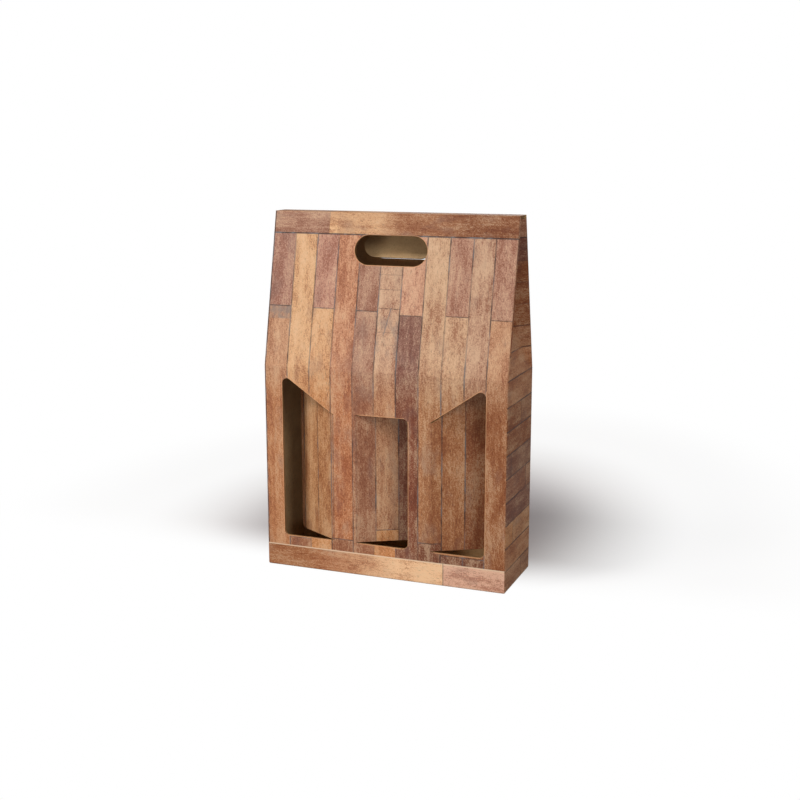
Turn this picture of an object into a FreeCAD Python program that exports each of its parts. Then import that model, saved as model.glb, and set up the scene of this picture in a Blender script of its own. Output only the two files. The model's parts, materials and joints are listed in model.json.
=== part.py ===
import FreeCAD, Part
import math
import os

# Gable-topped bottle box folded from one sheet of fine corrugated board.
# It stands upright: X runs along the width, the windowed front faces -Y and +Z is up.
# The origin is the centre of the base. All sizes are in millimetres and degrees.

Vector = FreeCAD.Vector

# The folded carton, measured over the outside of the board.
width = 250.0
depth = 84.0
height = 354.0
knee_height = 205.0
ridge_depth = 21.0
board = 1.6
fold_radius = 1.6

# The side gussets: how far up the sheet their lower triangle reaches from the knee,
# and how far their top edges stay below the lid.
gusset_apex = 108.0
gusset_drop = 2.0

# The windows, whose cut card stays on as flaps folded inwards.
window_width = 54.5
window_margin = 20.25
window_shift = -0.8
window_sill = 33.0
middle_window_top = 162.0
side_window_inner_top = 160.5
side_window_outer_top = 197.5
window_corner = 5.0
window_flap_turn = 30.0
cut_gap = 0.4

# The handle holes, measured along the sloping panels down from the ridge edge. The front
# one is open, and the rear one keeps its card as a tongue pushed inwards.
handle_width = 74.0
handle_height = 28.5
front_handle_drop = 21.5
rear_handle_drop = 18.5
tongue_turn = 40.0

# The lid along the ridge, with a tuck flap behind it.
fold_gap = 0.3
lid_end_gap = 0.3
lid_clearance = 1.2
tuck_length = 15.0
tuck_corner = 5.0
tuck_end_clearance = 3.0

# The glued side seam and the locked bottom.
seam_tab_width = 22.0
seam_tab_inset = 8.0
bottom_flap_length = 76.0
bottom_flap_taper = 14.0
bottom_lug_width = 92.0
bottom_lug_front = 14.0
bottom_lug_rear = 26.0
bottom_step = 8.0
bottom_seam = 0.6

# Values that follow from the sizes above.
half_width = width / 2
half_depth = depth / 2
half_ridge = ridge_depth / 2
rise = height - knee_height
lean_slope = (half_depth - half_ridge) / rise
lean = math.degrees(math.atan(lean_slope))
lean_cos = math.cos(math.radians(lean))
slant = rise / lean_cos
past = 2 * board
window_pitch = half_width - window_margin - window_width / 2

# Two points closer together than this are the same point.
same_point = 1e-6


def solid_of(faces):
    """A closed solid from its faces, turned so that its volume is positive."""
    shell = Part.makeShell(faces)
    shell.sewShape()
    solid = Part.Solid(shell)
    if solid.Volume < 0:
        solid.reverse()
    return solid


def flat_face(points):
    """A face through points in order, leaving out any that repeat the one before."""
    kept = [p for i, p in enumerate(points) if p.distanceToPoint(points[i - 1]) > same_point]
    return Part.Face(Part.makePolygon(kept + kept[:1]))


def prism_along_x(points, x_from, x_to):
    """A straight bar whose section is the given (y, z) outline."""
    corners = [Vector(x_from, y, z) for y, z in points]
    face = Part.Face(Part.makePolygon(corners + corners[:1]))
    return face.extrude(Vector(x_to - x_from, 0, 0))


def box_between(x, y, z):
    """A box given by its low and high values along each axis."""
    low = Vector(x[0], y[0], z[0])
    return Part.makeBox(x[1] - x[0], y[1] - y[0], z[1] - z[0], low)


def outline_in_front_view(corners):
    """A closed wire of (x, z, radius) corners joined by straight edges and tangent arcs."""
    edges = []
    arcs = []
    for index, (x, z, radius) in enumerate(corners):
        here = Vector(x, 0, z)
        before = Vector(corners[index - 1][0], 0, corners[index - 1][1])
        after_corner = corners[(index + 1) % len(corners)]
        after = Vector(after_corner[0], 0, after_corner[1])
        back = (before - here).normalize()
        ahead = (after - here).normalize()
        if radius <= 0:
            arcs.append((here, None, here))
            continue
        half_angle = back.getAngle(ahead) / 2
        setback = radius / math.tan(half_angle)
        inward = (back + ahead).normalize()
        middle = here + inward * (radius / math.sin(half_angle) - radius)
        arcs.append((here + back * setback, middle, here + ahead * setback))
    for index, (start, middle, end) in enumerate(arcs):
        if middle is not None:
            edges.append(Part.Arc(start, middle, end).toShape())
        next_start = arcs[(index + 1) % len(arcs)][0]
        if end.distanceToPoint(next_start) > same_point:
            edges.append(Part.makeLine(end, next_start))
    return Part.Wire(edges)


def plate(wire, y_from, y_to):
    """A wire drawn in the front view, made a plate between two depths."""
    face = Part.Face(wire)
    face.translate(Vector(0, y_from, 0))
    return face.extrude(Vector(0, y_to - y_from, 0))


def stadium(length, tall, top):
    """The outline of a long hole with round ends, hanging from a height."""
    x = length / 2
    radius = tall / 2
    low = top - tall
    straight = x - radius
    return Part.Wire([
        Part.makeLine(Vector(-straight, 0, top), Vector(straight, 0, top)),
        Part.Arc(Vector(straight, 0, top), Vector(x, 0, top - radius), Vector(straight, 0, low)).toShape(),
        Part.makeLine(Vector(straight, 0, low), Vector(-straight, 0, low)),
        Part.Arc(Vector(-straight, 0, low), Vector(-x, 0, top - radius), Vector(-straight, 0, top)).toShape(),
    ])


def lean_front(shape):
    """Tilts what was drawn on an upright front panel back onto the sloping one."""
    shape.rotate(Vector(0, -half_depth, knee_height), Vector(1, 0, 0), -lean)
    return shape


def lean_back(shape):
    """The same for the back panel."""
    shape.rotate(Vector(0, half_depth, knee_height), Vector(1, 0, 0), lean)
    return shape


# The carton's walls

def section(inset, floor, top):
    """The carton's side profile, moved inwards by an inset, as (y, z) points."""
    knee = knee_height - inset * math.tan(math.radians(lean) / 2)
    low_y = half_depth - inset
    top_y = half_depth - (top - knee_height) * lean_slope - inset / lean_cos
    return [(-low_y, floor), (low_y, floor), (low_y, knee), (top_y, top), (-top_y, top), (-low_y, knee)]


def outer_block():
    """The space that the carton takes up, with its folds rounded."""
    block = prism_along_x(section(0, 0, height), -half_width, half_width)
    folds = [edge for edge in block.Edges if edge.BoundBox.ZMin < height - fold_radius]
    return block.makeFillet(fold_radius, folds)


def inner_block():
    """The space inside the board, open through the ridge."""
    top = height + past
    return prism_along_x(section(board, board, top), board - half_width, half_width - board)


def plane_through(a, b, c, towards):
    """A plane as its unit normal, on the side of a direction, and its distance."""
    normal = (b - a).cross(c - a).normalize()
    if normal.dot(towards) < 0:
        normal = normal * -1
    return normal, normal.dot(a)


def moved(plane, distance):
    normal, offset = plane
    return normal, offset + distance


def meet(first, second, third):
    """The point where three planes cross."""
    (n1, d1), (n2, d2), (n3, d3) = first, second, third
    point = n2.cross(n3) * d1 + n3.cross(n1) * d2 + n1.cross(n2) * d3
    return point * (1 / n1.dot(n2.cross(n3)))


def mirrored_back(point):
    return Vector(point.x, -point.y, point.z)


def gusset_points():
    """The right gusset's fold points: knee corner, ridge corner, apex and crease end.

    The card keeps its length where it is folded. The apex keeps its distances to the
    knee corner and the ridge corner, and the centre crease runs on from it to a point
    that keeps its distances to the apex and the ridge corner. The gusset starts two
    boards inside the front panel's outer face, because the fold is two boards thick.
    """
    base = half_depth - 2 * board
    ridge = half_ridge - 2 * board
    knee_corner = Vector(half_width, -base, knee_height)
    ridge_corner = Vector(half_width, -ridge, height)
    flat = base ** 2 + (slant - gusset_apex) ** 2
    apex_up = (ridge ** 2 + rise ** 2 + gusset_apex ** 2 - flat) / (2 * rise)
    apex_in = math.sqrt(gusset_apex ** 2 - apex_up ** 2)
    apex = Vector(half_width - apex_in, 0, knee_height + apex_up)
    from_apex = slant - gusset_apex
    from_ridge = math.sqrt(base ** 2 - ridge ** 2)
    to_ridge = Vector(ridge_corner.x - apex.x, 0, ridge_corner.z - apex.z)
    apart = to_ridge.Length
    along = (apart ** 2 + from_apex ** 2 - from_ridge ** 2) / (2 * apart)
    aside = math.sqrt(from_apex ** 2 - along ** 2)
    unit = to_ridge.normalize()
    crease_end = apex + unit * along + Vector(-unit.z, 0, unit.x) * aside
    return knee_corner, ridge_corner, apex, crease_end


def gusset_planes(depth_in):
    """The planes of the lower triangle and of the front half, moved into the card."""
    knee_corner, ridge_corner, apex, crease_end = gusset_points()
    inwards = Vector(-1, 0, 0)
    forwards = Vector(0, -1, 0)
    triangle = plane_through(apex, knee_corner, mirrored_back(knee_corner), inwards)
    lower_half = plane_through(apex, knee_corner, ridge_corner, forwards)
    upper_half = plane_through(apex, ridge_corner, crease_end, forwards)
    return [moved(plane, depth_in) for plane in (triangle, lower_half, upper_half)]


def gusset_void(depth_in):
    """The space outside a folded-in gusset, bounded by its planes at a depth in the card."""
    triangle, lower_half, upper_half = gusset_planes(depth_in)
    middle = (Vector(0, 1, 0), 0)
    outside = (Vector(1, 0, 0), half_width + past)
    top = (Vector(0, 0, 1), height + 2 * past)
    apex = meet(triangle, upper_half, middle)
    crest = meet(upper_half, top, middle)
    bend = meet(triangle, lower_half, upper_half)
    knee = meet(triangle, lower_half, outside)
    corner = meet(lower_half, upper_half, outside)
    ridge = meet(upper_half, top, outside)
    bend_back, knee_back, corner_back, ridge_back = [
        mirrored_back(point) for point in (bend, knee, corner, ridge)
    ]
    loops = [
        [apex, bend, knee, knee_back, bend_back],
        [bend, knee, corner],
        [bend_back, knee_back, corner_back],
        [apex, bend, corner, ridge, crest],
        [apex, bend_back, corner_back, ridge_back, crest],
        [crest, ridge, ridge_back],
        [knee, corner, ridge, ridge_back, corner_back, knee_back],
    ]
    return solid_of([flat_face(loop) for loop in loops])


def both_sides(shape):
    """A shape with its mirror image on the left."""
    return shape, shape.mirror(Vector(0, 0, 0), Vector(1, 0, 0))


def walls():
    """The four panels, both gussets and the floor's outer layer."""
    outside = outer_block()
    for void in both_sides(gusset_void(0)):
        outside = outside.cut(void)
    inside = inner_block()
    for void in both_sides(gusset_void(board)):
        inside = inside.cut(void)
    return outside.cut(inside)


def above_gussets():
    """The space between the panels from the gussets' top edges upwards."""
    level = height - board - gusset_drop
    y_low = half_depth - (level - knee_height) * lean_slope - board / lean_cos
    y_high = y_low - (height + past - level) * lean_slope
    points = [(-y_low, level), (y_low, level), (y_high, height + past), (-y_high, height + past)]
    return prism_along_x(points, -half_width - past, half_width + past)


def lid_mitre_cut():
    """What is pared off the front panel's top edge so that the lid's fold can open."""
    sine = math.sin(math.radians(lean))
    length = math.hypot(1 - sine, lean_cos)
    along = Vector(0, (1 - sine) / length, -lean_cos / length)
    across = Vector(0, lean_cos / length, (1 - sine) / length)
    start = Vector(0, -half_ridge, height) - across * (fold_gap / 2)
    corners = [start - along * past, start + along * past]
    corners += [corners[1] + across * past, corners[0] + across * past]
    return prism_along_x([(c.y, c.z) for c in corners], -half_width - past, half_width + past)


# Windows, handles and their flaps

window_centres = {
    "left": window_shift - window_pitch,
    "middle": window_shift,
    "right": window_shift + window_pitch,
}
hinge_sides = {"left": 1, "middle": -1, "right": -1}


def window_outline(name):
    """A window's cut line: square where the flap is hinged, rounded at its free side."""
    centre = window_centres[name]
    side = hinge_sides[name]
    hinged = centre + side * window_width / 2
    free = centre - side * window_width / 2
    if name == "middle":
        hinged_top = middle_window_top
        free_top = middle_window_top
    else:
        hinged_top = side_window_inner_top
        free_top = side_window_outer_top
    return outline_in_front_view([
        (hinged, window_sill, 0),
        (hinged, hinged_top, 0),
        (free, free_top, window_corner),
        (free, window_sill, window_corner),
    ])


def window_cut(name):
    return plate(window_outline(name), -half_depth - past, -half_depth + past)


def window_flap(name):
    """A window's card, folded inwards about the inner corner of its hinged edge."""
    card = plate(window_outline(name).makeOffset2D(-cut_gap), -half_depth, -half_depth + board)
    side = hinge_sides[name]
    pivot_x = window_centres[name] + side * (window_width - cut_gap) / 2
    card.rotate(Vector(pivot_x, -half_depth + board, 0), Vector(0, 0, 1), -side * window_flap_turn)
    return card


def handle_outline(drop):
    return stadium(handle_width, handle_height, knee_height + slant - drop)


def front_handle_cut():
    return lean_front(plate(handle_outline(front_handle_drop), -half_depth - past, -half_depth + past))


def rear_handle_cut():
    return lean_back(plate(handle_outline(rear_handle_drop), half_depth - past, half_depth + past))


def handle_tongue():
    """The rear hole's card, hinged at the inner corner of its top edge and pushed inwards."""
    card = handle_outline(rear_handle_drop).makeOffset2D(-cut_gap)
    tongue = plate(card, half_depth - board, half_depth)
    hinge_up = knee_height + slant - rear_handle_drop - cut_gap / 2
    tongue.rotate(Vector(0, half_depth - board, hinge_up), Vector(1, 0, 0), -tongue_turn)
    return lean_back(tongue)


# The lid and its tuck flap

lid_rear = half_ridge - board / lean_cos - lid_clearance
square_mitre = fold_gap / 2 / math.sin(math.radians(45))


def lid():
    """The narrow top panel, hinged along the ridge's front edge, with mitred folds."""
    mitre = math.radians(90 - lean) / 2
    front = -half_ridge + fold_gap / 2 / math.cos(mitre)
    front_under = front + board * math.tan(mitre)
    rear = lid_rear - square_mitre
    points = [
        (front, height),
        (front_under, height - board),
        (rear - board, height - board),
        (rear, height),
    ]
    return prism_along_x(points, lid_end_gap - half_width, half_width - lid_end_gap)


def tuck_half_width():
    """Half the tuck flap's width, clear of the gussets' inner faces."""
    upper_half = gusset_planes(board)[2]
    inner_face = (Vector(0, 1, 0), board - lid_rear)
    low_edge = (Vector(0, 0, 1), height - tuck_length)
    return meet(upper_half, inner_face, low_edge).x - tuck_end_clearance


def tuck_flap():
    """The short flap that hangs from the lid's rear edge inside the back panel."""
    top = height - square_mitre
    low = height - tuck_length
    points = [
        (lid_rear, top),
        (lid_rear, low),
        (lid_rear - board, low),
        (lid_rear - board, top - board),
    ]
    half = tuck_half_width()
    bar = prism_along_x(points, -half, half)
    face = outline_in_front_view([
        (-half, low, tuck_corner),
        (half, low, tuck_corner),
        (half, height, 0),
        (-half, height, 0),
    ])
    return bar.common(plate(face, -half_depth, half_depth))


# The glued seam and the bottom

def seam_tab():
    """The glue tab of the left side, flat inside the back panel, below and above the knee."""
    x_low = board - half_width
    x_high = x_low + seam_tab_width
    y = half_depth - board
    lower = plate(outline_in_front_view([
        (x_low, 2 * board, 0),
        (x_high, 2 * board + seam_tab_inset, 0),
        (x_high, knee_height - seam_tab_inset, 0),
        (x_low, knee_height - board, 0),
    ]), y - board, y)
    upper = plate(outline_in_front_view([
        (x_low, knee_height + board, 0),
        (x_high, knee_height + seam_tab_inset, 0),
        (x_high, knee_height + slant - 2 * seam_tab_inset, 0),
        (x_low, knee_height + slant - seam_tab_inset, 0),
    ]), y - board, y)
    return lower.fuse(lean_back(upper))


def bottom_inner_layer():
    """The two side flaps and the front flap's locking lug, which lie inside the floor."""
    y_root = half_depth - board
    y_tip = y_root - bottom_flap_taper
    x_root = half_width - board
    x_tip = x_root - bottom_flap_length
    corners = [(x_root, -y_root), (x_root, y_root), (x_tip, y_tip), (x_tip, -y_tip)]
    points = [Vector(x, y, board) for x, y in corners]
    flap = Part.Face(Part.makePolygon(points + points[:1])).extrude(Vector(0, 0, board))
    lug_x = (-bottom_lug_width / 2, bottom_lug_width / 2)
    lug = box_between(lug_x, (-bottom_lug_front, bottom_lug_rear), (board, 2 * board))
    return list(both_sides(flap)) + [lug]


def bottom_seam_cut():
    """The stepped line where the front and rear bottom flaps meet, seen from below."""
    reach = half_width - board
    step_x = bottom_lug_width / 2
    z = (-past, board)
    outer_y = (-bottom_step - bottom_seam / 2, -bottom_step + bottom_seam / 2)
    inner_y = (bottom_step - bottom_seam / 2, bottom_step + bottom_seam / 2)
    cuts = [box_between((-step_x, step_x), inner_y, z)]
    for side in (-1, 1):
        run = sorted((side * step_x, side * reach))
        riser = (side * step_x - bottom_seam / 2, side * step_x + bottom_seam / 2)
        cuts.append(box_between(run, outer_y, z))
        cuts.append(box_between(riser, (outer_y[0], inner_y[1]), z))
    return cuts[0].multiFuse(cuts[1:])


def carton():
    """The folded sheet as one solid, with its windows and handle holes cut."""
    body = walls().multiFuse([seam_tab()] + bottom_inner_layer())
    cuts = [window_cut(name) for name in window_centres]
    cuts += [front_handle_cut(), rear_handle_cut(), above_gussets(), lid_mitre_cut(), bottom_seam_cut()]
    for cut in cuts:
        body = body.cut(cut)
    return body.removeSplitter()


def write_parts():
    """One STEP file per piece."""
    os.makedirs("parts", exist_ok=True)
    parts = {"carton": carton(), "lid": lid(), "tuck_flap": tuck_flap(), "handle_tongue": handle_tongue()}
    for name in window_centres:
        parts["window_flap_" + name] = window_flap(name)
    for name, shape in parts.items():
        shape.exportStep("parts/" + name + ".step")
        box = shape.BoundBox
        low = tuple(round(v, 2) for v in (box.XMin, box.YMin, box.ZMin))
        high = tuple(round(v, 2) for v in (box.XMax, box.YMax, box.ZMax))
        print(name, len(shape.Solids), shape.isValid(), round(shape.Volume), low, high)


write_parts()
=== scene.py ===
# %% [markdown]
# # A gable-topped bottle box, printed with planks
# The real box is one sheet of thin corrugated board. A die cuts its windows and presses its
# creases, and then it is folded and glued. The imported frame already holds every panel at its
# real size and place, so this lesson finishes it: it rounds the creases, gives every face its
# place on the flat sheet, and prints on it.

# %% Load the frame
import json
import math
import bpy
import bmesh
from mathutils import Matrix, Vector


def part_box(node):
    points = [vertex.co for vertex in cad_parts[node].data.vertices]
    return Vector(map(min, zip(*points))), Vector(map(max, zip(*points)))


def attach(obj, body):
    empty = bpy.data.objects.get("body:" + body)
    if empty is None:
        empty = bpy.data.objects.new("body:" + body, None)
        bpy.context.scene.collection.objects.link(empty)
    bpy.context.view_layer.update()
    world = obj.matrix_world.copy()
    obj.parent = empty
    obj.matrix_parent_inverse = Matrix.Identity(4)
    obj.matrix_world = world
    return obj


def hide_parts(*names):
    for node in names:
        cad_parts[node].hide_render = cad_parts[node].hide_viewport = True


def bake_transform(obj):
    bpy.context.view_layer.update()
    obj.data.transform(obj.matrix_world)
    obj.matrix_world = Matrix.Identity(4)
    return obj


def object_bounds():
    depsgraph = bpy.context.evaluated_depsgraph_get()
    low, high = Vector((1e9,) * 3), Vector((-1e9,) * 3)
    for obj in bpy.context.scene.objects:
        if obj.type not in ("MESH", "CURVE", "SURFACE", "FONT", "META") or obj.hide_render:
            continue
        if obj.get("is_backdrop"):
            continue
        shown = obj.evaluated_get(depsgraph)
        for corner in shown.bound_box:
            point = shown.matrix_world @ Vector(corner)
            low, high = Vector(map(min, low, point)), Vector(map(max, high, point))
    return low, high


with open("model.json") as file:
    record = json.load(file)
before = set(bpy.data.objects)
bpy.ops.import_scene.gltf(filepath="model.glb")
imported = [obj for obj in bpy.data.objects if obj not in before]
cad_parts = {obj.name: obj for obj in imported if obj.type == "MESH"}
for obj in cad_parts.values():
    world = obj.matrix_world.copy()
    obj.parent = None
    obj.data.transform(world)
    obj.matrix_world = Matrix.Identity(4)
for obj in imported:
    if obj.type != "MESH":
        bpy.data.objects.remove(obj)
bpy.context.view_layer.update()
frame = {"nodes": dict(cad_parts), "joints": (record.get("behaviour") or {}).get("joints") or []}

MM = 0.001
nodes = frame["nodes"]
joints = {joint["name"]: joint for joint in frame["joints"]}
print("nodes:", ", ".join(sorted(nodes)))

# %% [markdown]
# ## The sheet
# All finishes follow the flat sheet, as a printer sees it, and not the folded box. So the sheet
# is described first: where each panel lies on it, and where that panel is after folding. The
# sizes are those of the frame. The gusset's fold points follow from the lengths that the card
# keeps when the side is pushed in.

# %% Sizes of the folded box
half_width, half_depth, half_ridge = 125.0, 42.0, 10.5
knee, top = 205.0, 354.0
board = 1.6
flute_turn = 2 * math.pi / 3.2  # one wave of the flute in 3.2 mm
rise = top - knee
slant = math.hypot(rise, half_depth - half_ridge)
ridge_on_sheet = knee + slant
lean = math.atan2(half_depth - half_ridge, rise)
up = Vector((0, 0, 1))

# %% A panel: a flat piece of the sheet and where it lies
class Panel:
    """Two points in space and on the sheet, and the printed face's outward normal."""
    slack, off_weight, turn_weight = 0.1, 40, 0.5

    def __init__(self, points, flat, outward, reach, finish):
        a, b = points
        along = (b - a).normalized()
        self.normal = (outward - along * outward.dot(along)).normalized()
        across = self.normal.cross(along)
        c, s = (Vector(flat[1]) - Vector(flat[0])).normalized()
        self.u_axis = along * c - across * s
        self.v_axis = along * s + across * c
        self.origin, self.flat = a, flat[0]
        self.reach, self.finish = reach, finish

    def on_sheet(self, point):
        """A point's place on the sheet, and its depth under the print, in millimetres."""
        away = point - self.origin
        u = self.flat[0] + away.dot(self.u_axis)
        v = self.flat[1] + away.dot(self.v_axis)
        return Vector((u, v, -away.dot(self.normal)))

    def misfit(self, point, normal):
        """How badly a face at this point suits the panel."""
        u, v, depth = self.on_sheet(point)
        (u_low, u_high), (v_low, v_high) = self.reach
        outside = max(u_low - u, u - u_high, v_low - v, v - v_high, 0)
        off = max(-depth - self.slack, depth - board - self.slack, 0)
        turned_away = 1 - abs(normal.dot(self.normal))
        return self.off_weight * off + outside + self.turn_weight * turned_away


# %% The upright panels and the sloping ones
def wall(outward, foot, v_range, u_reach, finish, v_start=0.0, tilt=up):
    """A panel that rises along its tilt from the middle of its foot."""
    points = (foot, foot + tilt)
    return Panel(points, ((0, v_start), (0, v_start + 1)), outward, (u_reach, v_range), finish)


lean_in = Vector((0, math.sin(lean), math.cos(lean)))
lean_out = Vector((0, -math.sin(lean), math.cos(lean)))
wide, deep = (-half_width, half_width), (-half_depth, half_depth)
lower, upper = (0, knee), (knee, ridge_on_sheet)
front_knee, back_knee = Vector((0, -half_depth, knee)), Vector((0, half_depth, knee))
panels = [
    wall(Vector((0, -1, 0)), Vector((0, -half_depth, 0)), lower, wide, "upright"),
    wall(Vector((0, 1, 0)), Vector((0, half_depth, 0)), lower, wide, "upright"),
    wall(Vector((1, 0, 0)), Vector((half_width, 0, 0)), lower, deep, "level"),
    wall(Vector((-1, 0, 0)), Vector((-half_width, 0, 0)), lower, deep, "level"),
    wall(Vector((0, -1, 0)), front_knee, upper, wide, "upright", knee, lean_in),
    wall(Vector((0, 1, 0)), back_knee, upper, wide, "upright", knee, lean_out),
]
floor_points = (Vector((0, -half_depth, 0)), Vector((0, half_depth, 0)))
floor_flat = ((0, 0), (0, -2 * half_depth))
panels.append(Panel(floor_points, floor_flat, -up, (wide, (-2 * half_depth, 0)), "liner"))
print("panels so far:", len(panels), "- sheet length up the front", round(ridge_on_sheet, 1), "mm")

# %% The side gussets
apex_up = 108.0
rim_share = 0.95
base, ridge = half_depth - 2 * board, half_ridge - 2 * board
flat_gap = base ** 2 + (slant - apex_up) ** 2
apex_z = (ridge ** 2 + rise ** 2 + apex_up ** 2 - flat_gap) / (2 * rise)
apex_in = math.sqrt(apex_up ** 2 - apex_z ** 2)
for side in (1, -1):
    apex = Vector((side * (half_width - apex_in), 0, knee + apex_z))
    foot = Vector((side * half_width, 0, knee))
    outward = Vector((side, 0, 0))
    panels.append(Panel((foot, apex), ((0, knee), (0, knee + apex_up)), outward,
                        (deep, (knee, knee + apex_up)), "level"))
    for end in (1, -1):
        # The narrow outside of the fold between the sloping panel and the gusset.
        rim = (Vector((side * half_width, end * half_depth, knee)),
               Vector((side * half_width, end * half_ridge, top)))
        at = side * end * half_depth
        panels.append(Panel(rim, ((at, knee), (at, ridge_on_sheet)), outward,
                            (sorted((at, at * rim_share)), upper), "level"))
        low = Vector((side * half_width, end * base, knee))
        high = Vector((side * half_width, end * ridge, top))
        u = side * end * base
        flat = ((u, knee), (u, ridge_on_sheet))
        reach = (sorted((u, 0)), upper)
        for above_apex in (False, True):
            if above_apex:
                from_ridge = math.sqrt(base ** 2 - ridge ** 2)
                to_ridge = Vector((high.x - apex.x, 0, top - apex.z))
                apart = to_ridge.length
                along = (apart ** 2 + (slant - apex_up) ** 2 - from_ridge ** 2) / (2 * apart)
                aside = math.sqrt((slant - apex_up) ** 2 - along ** 2)
                unit = to_ridge.normalized()
                crest = apex + unit * along + Vector((-side * unit.z, 0, side * unit.x)) * aside
                normal = (high - apex).cross(crest - apex)
                points = (apex, high)
                flat = ((0, knee + apex_up), (u, ridge_on_sheet))
            else:
                normal = (apex - low).cross(high - low)
                points = (low, high)
            normal *= -1 if normal.y * end > 0 else 1
            panels.append(Panel(points, flat, normal, reach, "level"))
print("panels with gussets:", len(panels))

# %% [markdown]
# ## Clean panels from the frame's triangles
# The frame's meshes are loose triangles. A copy is merged and its flat areas are dissolved into
# single faces, so each panel is one clean face again. Creases in real board are never knife
# sharp: the liner stretches over the flutes. So each edge where two wide faces of one skin meet
# gets a small bevel. Each corner of each face then gets its place on the sheet as an attribute
# called board: across, up and depth, in millimetres.

# %% From a node to a finished piece
finishes = ["upright", "level", "liner", "edge"]
merge_distance, flat_angle = 0.001, math.radians(0.4)
facing_print, print_depth, facing_liner = 0.6, 0.6, 0.75
shortest_crease, smallest_face, least_turn = 4, 25, math.radians(6)
hinge_reach = 2.6
cut_side, cut_low, cut_high = 118, 25, 345
cut_bevel = 0.3


def to_mm(bm):
    bmesh.ops.scale(bm, vec=(1000,) * 3, verts=bm.verts)


def best_panel(face, choices):
    middle = face.calc_center_median()
    return min(choices, key=lambda panel: panel.misfit(middle, face.normal))


def skin_of(face, choices):
    """Which finish a face carries: the print, the plain liner inside, or a cut edge."""
    panel = best_panel(face, choices)
    facing = face.normal.dot(panel.normal)
    depth = panel.on_sheet(face.calc_center_median()).z
    if facing > facing_print and depth < print_depth:
        return panel.finish
    if abs(facing) > facing_liner:
        return "liner"
    return "edge"


def clean_copy(node):
    bm = bmesh.new()
    bm.from_mesh(nodes[node].data)
    to_mm(bm)
    bmesh.ops.remove_doubles(bm, verts=bm.verts, dist=merge_distance)
    bmesh.ops.dissolve_limit(bm, angle_limit=flat_angle, verts=bm.verts, edges=bm.edges,
                             use_dissolve_boundaries=False, delimit=set())
    return bm


def skins_at(edge, choices):
    return {skin_of(face, choices) for face in edge.link_faces}


def is_crease(edge, choices):
    """An edge where the same skin turns between two wide faces."""
    if len(edge.link_faces) != 2 or edge.calc_length() < shortest_crease:
        return False
    one, other = edge.link_faces
    if min(one.calc_area(), other.calc_area()) < smallest_face:
        return False
    if one.normal.angle(other.normal) < least_turn:
        return False
    skins = skins_at(edge, choices)
    return "edge" not in skins and ("liner" not in skins or len(skins) == 1)


def on_hinge(point):
    """Whether a point is within a board's reach of a joint's axis."""
    for joint in joints.values():
        away = point - Vector(joint["pos_m"]) * 1000
        axis = Vector(joint["axis"])
        if (away - axis * away.dot(axis)).length < hinge_reach:
            return True
    return False


def is_die_cut(edge, choices):
    """An edge where a window or a handle hole is cut through the printed side."""
    if len(edge.link_faces) != 2:
        return False
    middle = (edge.verts[0].co + edge.verts[1].co) / 2
    if abs(middle.x) > cut_side or not cut_low < middle.z < cut_high or on_hinge(middle):
        return False
    return skins_at(edge, choices) == {"edge", "upright"}


def soften(bm, edges, size, segments, clamp):
    """Bevels edges, and gives back the new faces."""
    if not edges:
        return []
    made = bmesh.ops.bevel(bm, geom=edges, offset=size, offset_type="OFFSET", affect="EDGES",
                           segments=segments, profile=0.5, material=-1, clamp_overlap=clamp)
    return made["faces"]


def round_creases(bm, choices, size):
    creases = [edge for edge in bm.edges if is_crease(edge, choices)]
    soften(bm, creases, size, 3, True)
    worn = bm.faces.layers.int.new("worn")
    cuts = [edge for edge in bm.edges if is_die_cut(edge, choices)]
    for face in soften(bm, cuts, cut_bevel, 1, False):
        face[worn] = 1
    return len(creases), len(cuts)


def lay_out(bm, choices):
    """Writes each corner's place on the sheet, and sorts the faces into finishes."""
    layer = bm.loops.layers.float_vector.new("board")
    worn = bm.faces.layers.int["worn"]
    for face in bm.faces:
        panel = best_panel(face, choices)
        skin = "edge" if face[worn] else skin_of(face, choices)
        face.material_index = finishes.index(skin)
        for loop in face.loops:
            loop[layer] = panel.on_sheet(loop.vert.co)


def make_piece(name, bm):
    bmesh.ops.scale(bm, vec=(MM,) * 3, verts=bm.verts)
    mesh = bpy.data.meshes.new(name)
    bm.to_mesh(mesh)
    bm.free()
    for finish in finishes:
        mesh.materials.append(materials[finish])
    piece = bpy.data.objects.new(name, mesh)
    bpy.context.scene.collection.objects.link(piece)
    return piece


def finish_node(node, choices, size=0.5):
    bm = clean_copy(node)
    creases, cuts = round_creases(bm, choices, size)
    lay_out(bm, choices)
    piece = make_piece(node + "_card", bm)
    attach(piece, node)
    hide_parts(node)
    faces = len(piece.data.polygons)
    print(node, "- creases:", creases, "- die-cut edges:", cuts, "- faces:", faces)


# %% [markdown]
# ## Shader helpers
# Shader maths reads best as plain expressions. This class wraps a node's output socket, so that
# a + b makes the Math node that adds them.

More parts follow.
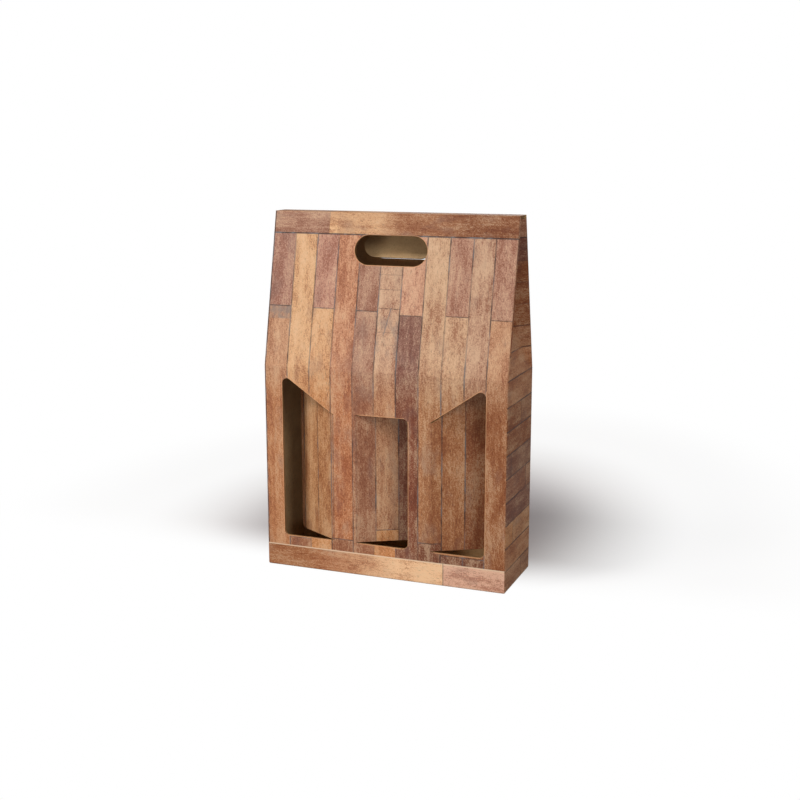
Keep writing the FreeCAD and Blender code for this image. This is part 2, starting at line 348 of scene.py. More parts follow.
# %% Expressions that make nodes
class Value:
    tree = None

    def __init__(self, socket):
        self.socket = socket

    @classmethod
    def node(cls, kind, settings=None, out=0, **inputs):
        """Any node: its settings are set first, then the values or links of its sockets."""
        made = cls.tree.nodes.new(kind)
        for key, value in (settings or {}).items():
            if key == "stops":
                cls.fill_ramp(made.color_ramp, value)
            elif key == "interpolation" and kind == "ShaderNodeValToRGB":
                made.color_ramp.interpolation = value
            else:
                setattr(made, key, value)
        for key, value in inputs.items():
            numbered = key[0] == "i" and key[1:].isdigit()
            name = int(key[1:]) if numbered else key.replace("_", " ")
            socket = made.inputs[name]
            if isinstance(value, Value):
                cls.tree.links.new(value.socket, socket)
            else:
                socket.default_value = value
        return Value(made.outputs[out])

    @staticmethod
    def fill_ramp(ramp, stops):
        while len(ramp.elements) > 1:
            ramp.elements.remove(ramp.elements[-1])
        ramp.elements[0].position = stops[0][0]
        ramp.elements[0].color = stops[0][1]
        for place, colour in stops[1:]:
            ramp.elements.new(place).color = colour

    @classmethod
    def maths(cls, operation, *values):
        inputs = {"i%d" % index: value for index, value in enumerate(values)}
        return cls.node("ShaderNodeMath", {"operation": operation}, **inputs)

    def __add__(self, other): return self.maths("ADD", self, other)
    def __radd__(self, other): return self.maths("ADD", other, self)
    def __sub__(self, other): return self.maths("SUBTRACT", self, other)
    def __rsub__(self, other): return self.maths("SUBTRACT", other, self)
    def __mul__(self, other): return self.maths("MULTIPLY", self, other)
    def __rmul__(self, other): return self.maths("MULTIPLY", other, self)
    def __truediv__(self, other): return self.maths("DIVIDE", self, other)
    def __gt__(self, other): return self.maths("GREATER_THAN", self, other)
    def __lt__(self, other): return self.maths("LESS_THAN", self, other)
    def __abs__(self): return self.maths("ABSOLUTE", self)
    def floor(self): return self.maths("FLOOR", self)
    def fraction(self): return self.maths("FRACT", self)
    def lowest(self, other): return self.maths("MINIMUM", self, other)
    def highest(self, other): return self.maths("MAXIMUM", self, other)
    def sine(self): return self.maths("SINE", self)
    def root(self): return self.maths("SQRT", self)

    def between(self, low, high, new_low=0.0, new_high=1.0, smooth=True):
        """This value from one range to another, held at its ends."""
        settings = {"interpolation_type": "SMOOTHSTEP" if smooth else "LINEAR", "clamp": True}
        inputs = {"From Min": low, "From Max": high, "To Min": new_low, "To Max": new_high}
        return self.node("ShaderNodeMapRange", settings, Value=self, **inputs)


def noise(x, y, z, detail=3.0, roughness=0.55):
    place = Value.node("ShaderNodeCombineXYZ", X=x, Y=y, Z=z)
    return Value.node("ShaderNodeTexNoise", {"noise_dimensions": "3D"}, Vector=place, Scale=1.0,
                      Detail=detail, Roughness=roughness, Distortion=0.0)


def mix(amount, first, second, blend="MIX"):
    """Two colours through a Mix node."""
    settings = {"data_type": "RGBA", "blend_type": blend}
    return Value.node("ShaderNodeMix", settings, out=2, i0=amount, i6=first, i7=second)


def linear(red, green, blue):
    """A colour as seen on screen, from 0 to 255, as the shader wants it."""
    def one(value):
        value /= 255
        return value / 12.92 if value <= 0.04045 else ((value + 0.055) / 1.055) ** 2.4
    return (one(red), one(green), one(blue), 1.0)


def start_material(name):
    material = bpy.data.materials.new(name)
    material.use_nodes = True
    Value.tree = material.node_tree
    shader = material.node_tree.nodes["Principled BSDF"]
    return material, shader


def plug(value, socket):
    Value.tree.links.new(value.socket, socket)


def board_place():
    """Across, up and depth of this spot on the sheet."""
    where = Value.node("ShaderNodeAttribute", {"attribute_name": "board"}, out=1)
    split = Value.node("ShaderNodeSeparateXYZ", Vector=where)
    outputs = split.socket.node.outputs
    return Value(outputs[0]), Value(outputs[1]), Value(outputs[2])


# %% [markdown]
# ## The plank print
# The print shows old floorboards: upright ones on the wide panels, with a level board along the
# ridge and another along the foot, and level ones on the sides. A printer would use a photo. Here
# each plank is a field of one wood colour, and the grain, pores, saw marks and stains are drawn
# over it by noise that is stretched along the plank.

# %% The wood colours
wood = {
    "honey": linear(221, 171, 125), "gold": linear(216, 163, 117), "tan": linear(206, 163, 128),
    "fawn": linear(199, 156, 126), "walnut": linear(194, 150, 121), "greyed": linear(186, 147, 121),
    "oak": linear(197, 145, 109), "russet": linear(200, 140, 104), "salmon": linear(206, 153, 123),
    "rosy": linear(193, 141, 118), "mauve": linear(179, 131, 110), "umber": linear(176, 129, 105),
    "mahogany": linear(146, 102, 86), "plum": linear(156, 112, 96), "cedar": linear(180, 124, 86),
    "teak": linear(145, 89, 54), "foot": linear(250, 202, 156), "blush": linear(232, 182, 154),
    "smoked": linear(176, 130, 105), "hazel": linear(210, 160, 117), "bark": linear(166, 110, 73),
    "rust": linear(172, 110, 68), "clay": linear(192, 130, 90), "hickory": linear(187, 139, 114),
}
seam_and_crease_shade_ink = linear(58, 46, 44)
steel_ink = linear(96, 104, 108)
pale_ink = linear(238, 208, 176)
pore_ink = linear(84, 58, 48)
grey_ink = linear(132, 122, 116)


def field(index, names):
    """One colour for each plank, by its number."""
    count = len(names)
    stops = [(i / count, wood[name]) for i, name in enumerate(names)]
    settings = {"interpolation": "CONSTANT", "stops": stops}
    return Value.node("ShaderNodeValToRGB", settings, Fac=(index + 0.5) / count)


def blended(place, low, high, stops):
    """Wood colours that run into each other along a board."""
    scaled = [((at - low) / (high - low), wood[name]) for at, name in stops]
    along = (place - low) / (high - low)
    return Value.node("ShaderNodeValToRGB", {"interpolation": "LINEAR", "stops": scaled}, Fac=along)


def number(index, values, largest):
    """One number for each plank."""
    count = len(values)
    stops = [(i / count, (v / largest,) * 3 + (1,)) for i, v in enumerate(values)]
    settings = {"interpolation": "CONSTANT", "stops": stops}
    return Value.node("ShaderNodeValToRGB", settings, Fac=(index + 0.5) / count) * largest


def plank_count(place, edges):
    """How many planks lie before this place, with the fraction of the one it is on."""
    low, high = edges[0], edges[-1]
    count = len(edges) - 1
    stops = [((edge - low) / (high - low), (i / count,) * 3 + (1,))
             for i, edge in enumerate(edges)]
    settings = {"interpolation": "LINEAR", "stops": stops}
    along = (place - low) / (high - low)
    return Value.node("ShaderNodeValToRGB", settings, Fac=along) * float(count)


# %% Grain drawn over a colour
def grained(colour, along, across, seed):
    """A plank's colour with streaks, flecks, blotches and pores, and the height of its grain."""
    wander = (noise(along * 0.012, across * 0.02, seed, detail=2.0) - 0.5) * 7.0
    line = across + wander
    slant = along + across * 0.7
    streak = noise(along * 0.008, line * 0.20, seed, detail=4.0, roughness=0.6)
    fleck = noise(slant * 0.26, line * 0.56, seed + 1.7, detail=3.0, roughness=0.6)
    blotch = noise(along * 0.028, across * 0.060, seed + 3.0, detail=3.0, roughness=0.6)
    fibre = noise(along * 0.30, line * 1.7, seed, detail=2.0)
    speckle = noise(along * 0.85, across * 0.95, seed + 9.0, detail=2.0)
    pores = noise(slant * 0.20, line * 1.3, seed + 7.0, detail=1.0).between(0.63, 0.73)
    shade = (streak - 0.5) * 0.9 + (fleck - 0.5) * 1.05 + (blotch - 0.5) * 1.7
    shade = shade + (fibre - 0.5) * 0.7 + (speckle - 0.5) * 1.5
    dark = (shade * -2.4).between(0.0, 1.0, 0.0, 0.85, smooth=False)
    light = (shade * 2.4).between(0.0, 1.0, 0.0, 0.62, smooth=False)
    deep_tone = mix(1.0, colour, linear(196, 164, 152), "MULTIPLY")
    pale_tone = mix(0.5, colour, linear(246, 212, 172))
    colour = mix(dark, colour, deep_tone)
    colour = mix(light, colour, pale_tone)
    cool = noise(along * 0.03, across * 0.06, seed + 11.0, detail=3.0)
    cool = cool.between(0.52, 0.72, 0.0, 0.35)
    colour = mix(cool, colour, mix(0.5, deep_tone, grey_ink))
    colour = mix(pores * 0.45, colour, pore_ink)
    return colour, shade + pores * -0.5


# %% The upright print
column_edges = [-125.0, -100, -76.5, -54, -31, -8.8, 13.8, 37, 59.8, 82.6, 104, 127]
upper_woods = ["mauve", "honey", "rosy", "russet", "umber", "fawn",
               "salmon", "tan", "hickory", "walnut", "hickory"]
lower_woods = ["oak", "honey", "gold", "russet", "umber", "greyed",
               "mahogany", "tan", "tan", "greyed", "oak"]
foot_woods = ["oak", "umber", "gold", "umber", "umber", "gold",
              "mahogany", "plum", "plum", "plum", "oak"]
joint_heights = [264.5, 0, 263.9, 0, 263.2, 0, 260.7, 0, 262, 0, 260.5]
foot_heights = [0, 32, 0, 35, 0, 45, 0, 41, 31, 31, 0]
tallest_joint, column_width = 400.0, 22.6
band_top, band_foot = knee + 131.0, 22.8
saw_marks = [(298.8, 0.35), (284.6, 0.45), (266.4, 0.8), (243.8, 0.4), (232.0, 0.25), (317.0, 0.3)]


def near(value, target, reach, soft=0.5):
    """One close to a target value, falling to zero past its reach."""
    return abs(value - target).between(reach, reach + soft, 1.0, 0.0)


def bands_of(x, v, colour, in_top, in_foot):
    """The level boards along the ridge and the foot, laid over the upright planks."""
    ridge_board = blended(x, column_edges[0], column_edges[-1], [
        (-125, "smoked"), (-65.6, "smoked"), (-65.2, "hazel"), (-14, "hazel"), (8, "bark"),
        (50, "bark"), (75, "teak"), (126, "teak")])
    chip = near(x, -61.0, 3.8, 0.5) * (v < 346.5)
    ridge_board = mix(chip * 0.9, ridge_board, linear(232, 184, 136))
    foot_board = blended(x, column_edges[0], column_edges[-1], [
        (-125, "rust"), (-85, "rust"), (-50, "clay"), (15, "foot"), (62.6, "foot"), (63.0, "blush"),
        (126, "blush")])
    colour = mix(in_top, colour, ridge_board)
    return mix(in_foot, colour, foot_board)


def marks_on_sixth(x, v, plank, colour):
    """Old saw cuts and a slanting grey scratch on the pale middle plank."""
    here = near(plank, 5.0, 0.4, 0.1)
    ragged = noise(x * 0.25, v * 0.3, 5.0, detail=3.0)
    for height, strength in saw_marks:
        cut = near(v + (ragged - 0.5) * 1.4, height, 0.15, 0.5)
        cut = cut * ragged.between(0.3, 0.6, 0.3, 1.0)
        colour = mix(cut * here * strength, colour, pore_ink)
    scratch = near(x - 4.7 - (v - 266.4) * 0.23, 0.0, 0.15, 0.7) * near(v, 254.5, 11.5, 2.0)
    colour = mix(scratch * 0.6, colour, steel_ink)
    cloud = noise(x * 0.12, v * 0.05, 31.0, detail=4.0).between(0.48, 0.66)
    cloud = cloud * near(v, 236.0, 14.0, 20.0)
    return mix(cloud * here * 0.4, colour, grey_ink)


def seam_lines(x, v, count, joint, foot, in_top, in_foot):
    """The gaps between planks. Each has its own strength, and varies along its length."""
    part = count.fraction()
    side_gap = part.lowest(1 - part) * column_width
    own = noise((count + 0.5).floor() * 3.7, v * 0.02, 9.0, detail=2.0)
    own = own.between(0.36, 0.58, 0.42, 1.0)
    uneven = noise(x * 0.2, v * 0.10, 9.0, detail=3.0).between(0.30, 0.6, 0.6, 1.0)
    wobble = (noise(x * 0.25, v * 0.12, 2.0) - 0.5) * 0.6
    open_field = (1 - in_top) * (1 - in_foot)
    line = (side_gap + wobble).between(0.25, 1.0, 1.0, 0.0) * own * open_field
    ends = abs(v - joint).lowest(abs(v - foot))
    line = line.highest((ends + wobble).between(0.2, 0.8, 0.85, 0.0) * open_field)
    line = line.highest(near(x + wobble, -65.5, 0.1, 0.5) * in_top * 0.35)
    line = line.highest(near(x + wobble, 62.8, 0.25, 0.5) * in_foot * 0.8)
    line = line.highest(near(x + wobble, -123.7, 0.35, 0.5) * (1 - in_foot))
    line = line * uneven
    return line.highest(near(v + wobble * 0.3, band_top, 0.45, 0.5) * 0.95)


def on_front_panel():
    """One on the front half of the box and zero on the rear half."""
    place = Value.node("ShaderNodeTexCoord", out=3)
    split = Value.node("ShaderNodeSeparateXYZ", Vector=place)
    return Value(split.socket.node.outputs[1]) < 0.0


# The windows and carry holes on the sheet: a window's name, its middle and its top's slope.
window_shapes = [("left", -78.3, -0.679), ("middle", -0.8, 0.0), ("right", 76.7, 0.679)]
half_window, sill, level_top, sloping_top, slope_share = 27.25, 33.0, 162.0, 179.0, 0.827
hole_height, rear_hole_rise, half_straight, hole_radius = 321.5, 3.0, 22.75, 14.25


def windows(x, v):
    """Each window's hinge, how far a place lies outside its cut line, and its rounded corners."""
    for name, centre, slope in window_shapes:
        aside = x - centre
        top_here = aside * slope + (sloping_top if slope else level_top)
        over = (v - top_here) * (slope_share if slope else 1.0)
        outside = (abs(aside) - half_window).highest(sill - v).highest(over)
        corner = (abs(aside) > 23.5) * (over > -2.5).highest(v < 36.0)
        yield joints[name + "_window_fold"]["pos_m"][0] * 1000, outside, corner


def painted_shade_tint(x, v, on_front):
    """Painted shade: below the knee the boards are darker and browner, most on the right, and the
    turned-in window flaps have their own darker tint.
    """
    def tint(stops):
        scaled = [((at + 125) / 250, colour + (1,)) for at, colour in stops]
        return Value.node("ShaderNodeValToRGB", {"stops": scaled}, Fac=(x + 125.0) / 250.0)

    fixed = tint([(-115, (0.94, 0.75, 0.55)), (-35, (0.90, 0.74, 0.57)), (5, (0.92, 0.73, 0.55)),
                  (31, (0.90, 0.60, 0.40)), (42, (0.68, 0.49, 0.34)), (110, (0.64, 0.46, 0.31))])
    flaps = tint([(-100, (0.76, 0.66, 0.57)), (-55, (0.75, 0.65, 0.56)), (-25, (0.96, 0.82, 0.67)),
                  (22, (0.96, 0.82, 0.67)), (52, (0.72, 0.50, 0.34)), (100, (0.72, 0.49, 0.33))])
    inside = x * 0.0
    for _, outside, _ in windows(x, v):
        inside = inside.highest(outside < 0.0)
    both = mix(inside * on_front, fixed, flaps)
    return mix(v.between(165.0, 225.0, 1.0, 0.0), (1, 1, 1, 1), both)


def cut_rim_highlights(x, v, on_front):
    """Painted highlight: a thin pale line round the windows and carry holes, along the die cut,
    where the cut edge catches the light.
    """
    rim = x * 0.0
    for hinge, outside, corner in windows(x, v):
        line = near(outside, 0.4, 0.2, 0.4) * (abs(x - hinge) > 1.5)
        rim = rim.highest(line * (1 - corner))
    hole_up = v - (hole_height + rear_hole_rise * (1 - on_front))
    end = (abs(x) - half_straight).highest(0.0)
    ring = (end * end + hole_up * hole_up).root() - hole_radius
    return (rim * on_front).highest(near(ring, 0.4, 0.2, 0.4))


def hinge_shade_lines(x, v):
    """Painted shade: a thin dark line along the pressed hinge of each window's card, where the
    crease falls into shade.
    """
    line = x * 0.0
    hinge_middle, half_hinge = 97.5, 63.5
    for name, strength in (("left", 0.4), ("middle", 0.3), ("right", 0.12)):
        hinge = joints[name + "_window_fold"]["pos_m"][0] * 1000
        line = line.highest(near(x, hinge, 0.1, 0.6) * strength)
    return line * near(v, hinge_middle, half_hinge, 1.5)


def upright_print():
    material, shader = start_material("upright_planks")
    x, v, _ = board_place()
    count = plank_count(x, column_edges)
    plank = count.floor()
    joint = number(plank, joint_heights, tallest_joint)
    foot = number(plank, foot_heights, tallest_joint)
    above, below = v > joint, v < foot
    in_top, in_foot = v > band_top, v < band_foot
    band = in_top.highest(in_foot)
    colour = mix(above, field(plank, lower_woods), field(plank, upper_woods))
    colour = mix(below, colour, field(plank, foot_woods))
    on_front = on_front_panel()
    # Painted shade: darkens the lower front and the window flaps.
    colour = mix(1.0, colour, painted_shade_tint(x, v, on_front), "MULTIPLY")
    colour = bands_of(x, v, colour, in_top, in_foot)
    along = v + (x - v) * band
    across = x + (v - x) * band
    seed = (plank * 5.3 + above * 2.7 + below * 1.9) * (1 - band) + in_top * 61.0 + in_foot * 83.0
    colour, height = grained(colour, along, across, seed)
    # The first plank has a short greyed end below its joint.
    worn_end = near(v, 258.5, 5.5, 2.0) * (x < -100.5)
    patchy = noise(x * 0.15, v * 0.12, 17.0, detail=4.0).between(0.35, 0.6, 0.3, 1.0)
    colour = mix(worn_end * patchy * 0.7, colour, grey_ink)
    colour = marks_on_sixth(x, v, plank, colour)
    seam = seam_lines(x, v, count, joint, foot, in_top, in_foot)
    colour = mix(near(v, band_foot - 0.6, 0.3, 0.5) * 0.85, colour, pale_ink)
    ink = mix(noise(x * 0.08, v * 0.03, 21.0).between(0.45, 0.6), seam_and_crease_shade_ink, steel_ink)
    colour = mix(seam * 0.88, colour, ink)
    # Painted shade along the window hinges, in the seam colour.
    colour = mix(hinge_shade_lines(x, v) * on_front * 0.7, colour, seam_and_crease_shade_ink)
    # Painted highlight along the die-cut edges.
    colour = mix(cut_rim_highlights(x, v, on_front) * 0.65, colour, linear(226, 164, 116))
    finish_print(shader, colour, height - seam * 1.5, x, v)
    return material


def finish_print(shader, colour, height, x, v):
    """Rubbed folds that also carry a painted highlight, the board's slight waves, and a thin matt
    varnish.
    """
    fold = near(v, ridge_on_sheet, 0.3, 1.0).highest(near(abs(x), half_width, 0.3, 1.0))
    # Paler folds: partly rubbed wear, partly a painted highlight along the corners.
    fold_rub_and_highlight = fold * noise(x * 0.35, v * 0.35, 5.0, detail=4.0, roughness=0.7).between(0.48, 0.66)
    colour = mix(fold_rub_and_highlight * 0.35, colour, linear(206, 158, 118))
    flutes = (x * flute_turn).sine()
    swell = noise(x * 0.011, v * 0.011, 1.0, detail=1.0)
    plug(colour, shader.inputs["Base Color"])
    plug((0.50 + height * 0.06 + fold_rub_and_highlight * 0.2).lowest(0.8), shader.inputs["Roughness"])
    relief = height * 0.010 + flutes * 0.004 + swell * 1.6
    bump = Value.node("ShaderNodeBump", Strength=0.5, Distance=0.001, Height=relief)
    plug(bump, shader.inputs["Normal"])
    shader.inputs["Specular IOR Level"].default_value = 0.32


# %% The level print on the sides
row_edges = [0.0, 21.5, 44, 66.6, 89, 111.7, 134.3, 157, 180, 205,
             227.65, 249.3, 271, 292.7, 313.5, 336, 359]
row_woods = ["walnut", "oak", "gold", "plum", "umber", "mahogany", "bark", "bark", "oak",
             "oak", "cedar", "bark", "bark", "bark", "mahogany", "umber"]
row_joints = [12, 90, -18, 90, 24, -27, 90, 5, 90, 90, -20, 90, 90, 90, 90, 90]
joint_shift, row_height = 100.0, 22.4


def level_print():
    material, shader = start_material("level_planks")
    y, v, _ = board_place()
    count = plank_count(v, row_edges)
    plank = count.floor()
    part = count.fraction()
    gap = part.lowest(1 - part) * row_height
    shifted = [value + joint_shift for value in row_joints]
    joint = number(plank, shifted, 2 * joint_shift) - joint_shift
    past_joint = y > joint
    colour = field(plank, row_woods)
    colour = mix(past_joint * 0.4, colour, wood["greyed"])
    colour = mix(1.0, colour, (0.92, 0.78, 0.66, 1), "MULTIPLY")
    colour, height = grained(colour, y, v, plank * 4.1 + past_joint * 2.3 + 31.0)
    wobble = (noise(y * 0.12, v * 0.25, 6.0) - 0.5) * 0.6
    own = noise(y * 0.02, (count + 0.5).floor() * 3.1, 4.0, detail=2.0)
    own = own.between(0.36, 0.55, 0.5, 1.0)
    own = own * (1 - near(v, 292.0, 30.0, 10.0) * 0.55)
    seam = (gap + wobble).between(0.2, 0.9, 1.0, 0.0) * own
    seam = seam.highest((abs(y - joint) + wobble).between(0.2, 0.8, 0.8, 0.0))
    colour = mix(seam * 0.88, colour, seam_and_crease_shade_ink)
    # The rubbed edges of a side, with their painted highlight, lie at its own half width.
    finish_print(shader, colour, height - seam * 1.5, y * (half_width / half_depth), v)
    return material


# %% [markdown]
# ## Bare board
# Inside, and on the foot, the board is bare brown liner: recycled fibre with dark specks, a soft
# cloudiness and a hint of the flutes. On a cut edge the wavy flute shows between its two liners
# wherever the cut crosses it.

# %% The plain liner
def liner_finish():
    material, shader = start_material("plain_liner")
    x, v, _ = board_place()
    cloud = noise(x * 0.04, v * 0.04, 3.0, detail=5.0, roughness=0.65)
    fibre = noise(x * 0.9, v * 2.6, 8.0, detail=4.0, roughness=0.7)
    speck = noise(x * 0.8, v * 0.8, 12.0, detail=2.0).between(0.70, 0.76)
    pale = noise(x * 1.1, v * 0.7, 22.0, detail=2.0).between(0.70, 0.77)
    colour = mix(cloud.between(0.3, 0.7), linear(190, 154, 110), linear(208, 172, 126))
    colour = mix(fibre.between(0.35, 0.7) * 0.35, colour, linear(156, 122, 84))
    mottle = noise(x * 0.45, v * 0.45, 15.0, detail=4.0, roughness=0.7)
    colour = mix(mottle.between(0.54, 0.70) * 0.45, colour, linear(132, 100, 66))
    colour = mix(speck * 0.8, colour, linear(84, 60, 42))
    colour = mix(pale * 0.7, colour, linear(232, 204, 164))
    plug(colour, shader.inputs["Base Color"])
    plug(0.74 + fibre * 0.14, shader.inputs["Roughness"])
    flutes = (x * flute_turn).sine()
    relief = fibre * 0.05 + flutes * 0.02
    bump = Value.node("ShaderNodeBump", Strength=0.5, Distance=0.001, Height=relief)
    plug(bump, shader.inputs["Normal"])
    shader.inputs["Specular IOR Level"].default_value = 0.25
    return material


# %% The cut edge
def edge_finish():
    material, shader = start_material("cut_edge")
    x, v, depth = board_place()
    centre = board / 2 + (x * flute_turn).sine() * 0.46
    paper = abs(depth - centre).between(0.10, 0.24, 1.0, 0.0)
    skins = abs(depth - board / 2).between(0.52, 0.66, 0.0, 1.0)
    paper = paper.highest(skins)
    fuzz = noise(x * 1.6, v * 1.6, depth * 3.0, detail=3.0)
    colour = mix(fuzz.between(0.3, 0.7), linear(176, 126, 82), linear(206, 158, 110))
    # Painted shade: the open gaps between the flute and its liners are coloured dark.
    colour = mix(paper.between(0.0, 1.0, 0.75, 0.0), colour, linear(82, 54, 36))
    plug(colour, shader.inputs["Base Color"])
    plug(0.82 + fuzz * 0.1, shader.inputs["Roughness"])
    relief = paper * 0.25 + fuzz * 0.08
    bump = Value.node("ShaderNodeBump", Strength=0.8, Distance=0.001, Height=relief)
    plug(bump, shader.inputs["Normal"])
    shader.inputs["Specular IOR Level"].default_value = 0.2
    return material


materials = {
    "upright": upright_print(), "level": level_print(),
    "liner": liner_finish(), "edge": edge_finish(),
}
print("materials:", ", ".join(material.name for material in materials.values()))

# %% [markdown]
# ## The carton
# All fixed panels are one piece, as on the real box.

# %% Finish the carton
finish_node("carton", panels, 1.0)

# %% [markdown]
# ## The flaps
# Each window's card is still joined at one crease and folded inwards, so the print runs on over
# it. Its panel is the front panel turned about the joint's axis, and the tongue's is the sloping
# rear panel. The lid and its tuck flap follow the front panel on the sheet, past the ridge.

# %% Flaps turned from their panels
def turned(panel, joint, degrees):
    """A panel turned about a joint's axis, as its flap is at rest."""
    pivot = Vector(joint["pos_m"]) * 1000
    turn = Matrix.Rotation(math.radians(degrees), 3, Vector(joint["axis"]))
    points = [pivot + turn @ (panel.origin + axis - pivot) for axis in (Vector(), panel.v_axis)]
    flat = (panel.flat, (panel.flat[0], panel.flat[1] + 1))
    return Panel(points, flat, turn @ panel.normal, panel.reach, panel.finish)


front, back = panels[0], panels[5]
turned_panels = {}
for name in ("left", "middle", "right", "tongue"):
    node = "handle_tongue" if name == "tongue" else "window_flap_" + name
    joint = joints["handle_tongue_fold" if name == "tongue" else name + "_window_fold"]
    flat_panel = back if name == "tongue" else front
    turned_panels[node] = turned(flat_panel, joint, -joint["range_deg"][0])
    finish_node(node, [turned_panels[node]])

# %% The lid and the tuck flap
lid_foot = Vector((0, -half_ridge, top))
along_lid = Vector((0, 1, 0))
lid_reach = (wide, (ridge_on_sheet, ridge_on_sheet + 18))
lid_panel = Panel((lid_foot, lid_foot + along_lid), ((0, ridge_on_sheet), (0, ridge_on_sheet + 1)),
                  up, lid_reach, "upright")
finish_node("lid", [lid_panel])
tuck_top = Vector((0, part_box("tuck_flap")[1].y * 1000, top))
tuck_start = ridge_on_sheet + tuck_top.y + half_ridge
tuck_panel = Panel((tuck_top, tuck_top - up), ((0, tuck_start), (0, tuck_start + 1)),
                   along_lid, (wide, (tuck_start, tuck_start + 15)), "upright")
finish_node("tuck_flap", [tuck_panel])

# %% [markdown]
# ## The bent board at the folds
# The frame leaves a hairline between a flap and its neighbour, so that it can turn. On the real
# box the card runs on through the crease. So each fold gets a narrow strip that starts flat, as
# it lies on the sheet, and is bent round the crease.

# %% Strips bent round a crease
strip_cuts = 7


def bent_strip(name, bodies, joint, panels_here, span, reach, half_gap, mitred):
    """A strip between two panels. Its reach is how far it runs out from the hinge line."""
    first, second = panels_here
    pivot, axis = Vector(joint["pos_m"]) * 1000, Vector(joint["axis"])
    total = math.atan2(axis.dot(first.normal.cross(second.normal)),
                       first.normal.dot(second.normal))
    across = axis.cross(first.normal)
    low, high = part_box(bodies[1])
    middle = (Vector(low) + Vector(high)) / 2 * 1000
    if across.dot(middle - pivot) < 0:
        across = -across
    bm = bmesh.new()
    bmesh.ops.create_cube(bm, size=1)
    crossing = [edge for edge in bm.edges if abs(edge.verts[0].co.y - edge.verts[1].co.y) > 0.5]
    bmesh.ops.subdivide_edges(bm, edges=crossing, cuts=strip_cuts, use_grid_fill=True)
    layer = bm.loops.layers.float_vector.new("board")
    bent = {}
    for vert in bm.verts:
        along = axis * (span[0] + (vert.co.x + 0.5) * (span[1] - span[0]))
        step = across * (vert.co.y * 2 * half_gap)
        out = first.normal * (reach[0] + (vert.co.z + 0.5) * (reach[1] - reach[0]))
        share = 0.5 if mitred else vert.co.y + 0.5
        turn = Matrix.Rotation(total * share, 3, axis)
        flat = along + step + (first.normal * 0 if mitred else out)
        bent[vert] = (pivot + along + turn @ (step + out), first.on_sheet(pivot + flat))
    for face in bm.faces:
        face.material_index = finishes.index("upright" if reach[1] > 0 else "edge")
        for loop in face.loops:
            loop[layer] = bent[loop.vert][1]
    for vert in bm.verts:
        vert.co = bent[vert][0]
    bmesh.ops.recalc_face_normals(bm, faces=bm.faces)
    piece = make_piece(name, bm)
    far = max(reach, key=abs)
    for share, side in ((0.0, -1), (1.0, 1)):
        turn = Matrix.Rotation(total * (0.5 if mitred else share), 3, axis)
        (pivot + turn @ (across * side * half_gap + first.normal * far)) * MM
    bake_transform(piece)
    faces = len(piece.data.polygons)
    print(name, "- turn", round(math.degrees(total), 1), "degrees - faces", faces)


# %% Every fold that moves
through_board = (0.0, board - 0.01)
cut_gap = 0.4
half_cut, half_crease, half_lid = 0.2, 0.15, 124.6
for name, top_of_hinge in (("left", 160.1), ("middle", 161.6), ("right", 160.1)):
    node, joint = "window_flap_" + name, joints[name + "_window_fold"]
    foot_of_hinge = joint["pos_m"][2] * 1000
    way = joint["axis"][2]
    span = sorted((cut_gap * way, (top_of_hinge - foot_of_hinge) * way))
    bent_strip(node + "_fold", ("carton", node), joint, (front, turned_panels[node]), span,
               through_board, half_cut, False)
bent_strip("tongue_fold", ("carton", "handle_tongue"), joints["handle_tongue_fold"],
           (back, turned_panels["handle_tongue"]), (-half_straight, half_straight),
           through_board, half_cut, False)
bent_strip("lid_fold", ("carton", "lid"), joints["lid_fold"], (panels[4], lid_panel),
           (-half_lid, half_lid), (-0.8, -0.2), half_crease, True)
half_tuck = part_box("tuck_flap")[1][0] * 1000
bent_strip("tuck_fold", ("lid", "tuck_flap"), joints["tuck_fold"], (lid_panel, tuck_panel),
           (-half_tuck, half_tuck), (0.0, 2.1), half_crease, True)

# %% [markdown]
# ## Floor, light and camera
# The photo has a white ground with a soft grey shadow behind the box. The floor shows white to the
# camera, apart from an oval behind the box, where it keeps its shadow; a painted shadow darkens its
# colour towards the middle. Five lamps light the box: a key from the upper left, a low one from the
# left, a fill from the right, a narrow spot into the windows and one from behind. None of them
# shows in the picture.

# %% The stage
shade_middle, shade_stretch = (-0.04, 0.15, 0.0), (4.17, 2.94, 0.0)


def vector_maths(operation, out=0, **inputs):
    return Value.node("ShaderNodeVectorMath", {"operation": operation}, out=out, **inputs)


def make_floor():
    bm = bmesh.new()
    bmesh.ops.create_grid(bm, x_segments=1, y_segments=1, size=6.0)
    mesh = bpy.data.meshes.new("floor")
    bm.to_mesh(mesh)
    bm.free()
    material, shader = start_material("pale_floor")
    shader.inputs["Roughness"].default_value = 1.0
    shader.inputs["Specular IOR Level"].default_value = 0.0
    seen = Value.node("ShaderNodeLightPath", out=0)
    place = Value.node("ShaderNodeTexCoord", out=3)
    away = vector_maths("SUBTRACT", i0=place, i1=shade_middle)
    shrunk = vector_maths("MULTIPLY", i0=away, i1=shade_stretch)
    reach = vector_maths("LENGTH", out=1, i0=shrunk)
    split = Value.node("ShaderNodeSeparateXYZ", Vector=place)
    behind = Value(split.socket.node.outputs[1]).between(-0.03, 0.08)
    shown = reach.between(0.5, 1.3, 1.0, 0.12) * reach.between(1.4, 2.1, 1.0, 0.0) * behind
    # Painted shadow: the floor's colour is darker towards the middle of the oval.
    grey = mix(reach.between(0.5, 1.0), (0.60, 0.565, 0.57, 1), (0.93, 0.89, 0.875, 1))
    plug(mix(seen, (0.34, 0.33, 0.32, 1), grey), shader.inputs["Base Color"])
    white = Value.node("ShaderNodeEmission", Color=(1, 1, 1, 1), Strength=1.0)
    far = (1 - shown) * seen
    blend = Value.node("ShaderNodeMixShader", i0=far, i1=Value(shader.outputs[0]), i2=white)
    output = material.node_tree.nodes["Material Output"]
    plug(blend, output.inputs["Surface"])
    mesh.materials.append(material)
    floor = bpy.data.objects.new("floor", mesh)
    bpy.context.scene.collection.objects.link(floor)
    floor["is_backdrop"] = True


make_floor()

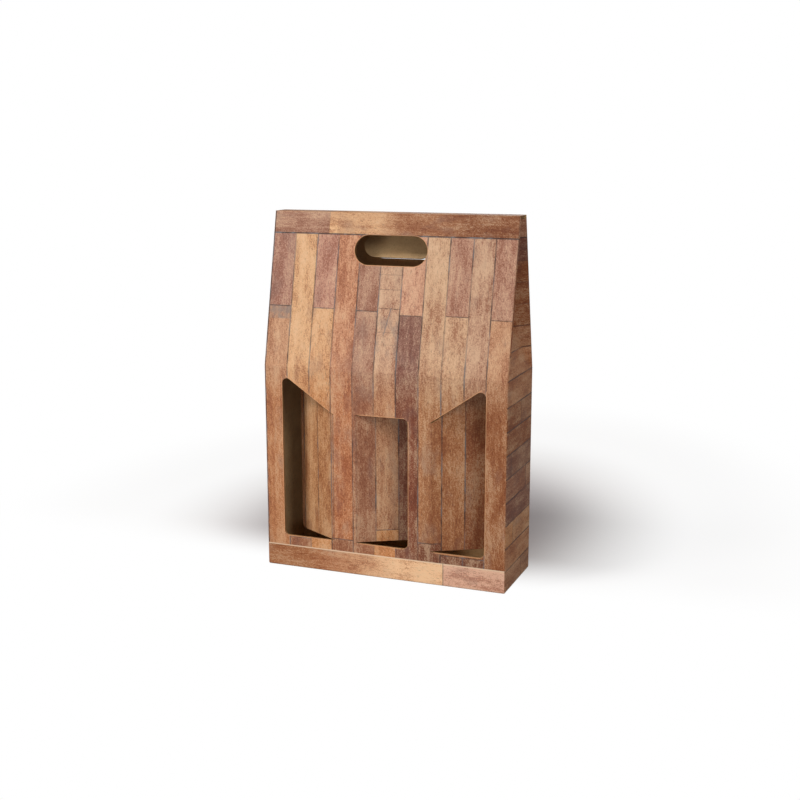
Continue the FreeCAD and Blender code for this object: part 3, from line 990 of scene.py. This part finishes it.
# %% The light
def add_light(name, kind, place, aim, power, **settings):
    data = bpy.data.lights.new(name, kind)
    data.energy = power
    for key, value in settings.items():
        setattr(data, key, value)
    lamp = bpy.data.objects.new(name, data)
    lamp.visible_camera = False
    lamp.location = place
    lamp.rotation_euler = (Vector(aim) - Vector(place)).to_track_quat("-Z", "Y").to_euler()
    bpy.context.scene.collection.objects.link(lamp)


add_light("key", "AREA", (-0.75, -0.95, 1.55), (0, 0, 0.2), 18, shape="DISK", size=0.5)
add_light("low_left", "AREA", (-0.85, -1.1, 0.14), (0, 0, 0.2), 4.0, shape="DISK", size=0.4)
add_light("fill", "AREA", (1.1, -0.9, 1.0), (0, 0, 0.15), 6.6, shape="DISK", size=0.8)
add_light("window_spot", "SPOT", (0.42, -1.25, 0.2), (-0.01, 0, 0.09), 8.0,
          spot_size=math.radians(19), spot_blend=1.0, shadow_soft_size=0.1)
add_light("back", "AREA", (-0.3, 1.6, 0.3), (0, 0, 0.2), 6.0, shape="DISK", size=0.8)
world = bpy.data.worlds.new("studio")
bpy.context.scene.world = world
world.use_nodes = True
Value.tree = world.node_tree
background = world.node_tree.nodes["Background"]
seen = Value.node("ShaderNodeLightPath", out=0)
background.inputs["Color"].default_value = (1, 1, 1, 1)
plug(seen.between(0.0, 1.0, 0.26, 1.0, smooth=False), background.inputs["Strength"])
bpy.context.scene.view_settings.view_transform = "Standard"

# %% The camera, where the photo was taken from
eye = Vector((0.44612, -1.13646, 0.42640))
data = bpy.data.cameras.new("camera")
data.sensor_width, data.lens = 36.0, 56.93
camera = bpy.data.objects.new("camera", data)
azimuth, elevation, roll = math.radians(21.331), math.radians(11.824), math.radians(-0.068)
back_axis = Vector((math.sin(azimuth) * math.cos(elevation),
                    -math.cos(azimuth) * math.cos(elevation), math.sin(elevation)))
turn = back_axis.to_track_quat("Z", "Y") @ Matrix.Rotation(roll, 3, "Z").to_quaternion()
camera.location = eye
camera.rotation_mode = "QUATERNION"
camera.rotation_quaternion = turn
bpy.context.scene.collection.objects.link(camera)
bpy.context.scene.camera = camera

# %% Measure and finish
low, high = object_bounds()
print("visual box in mm:", [round(value * 1000, 2) for value in (*low, *high)])
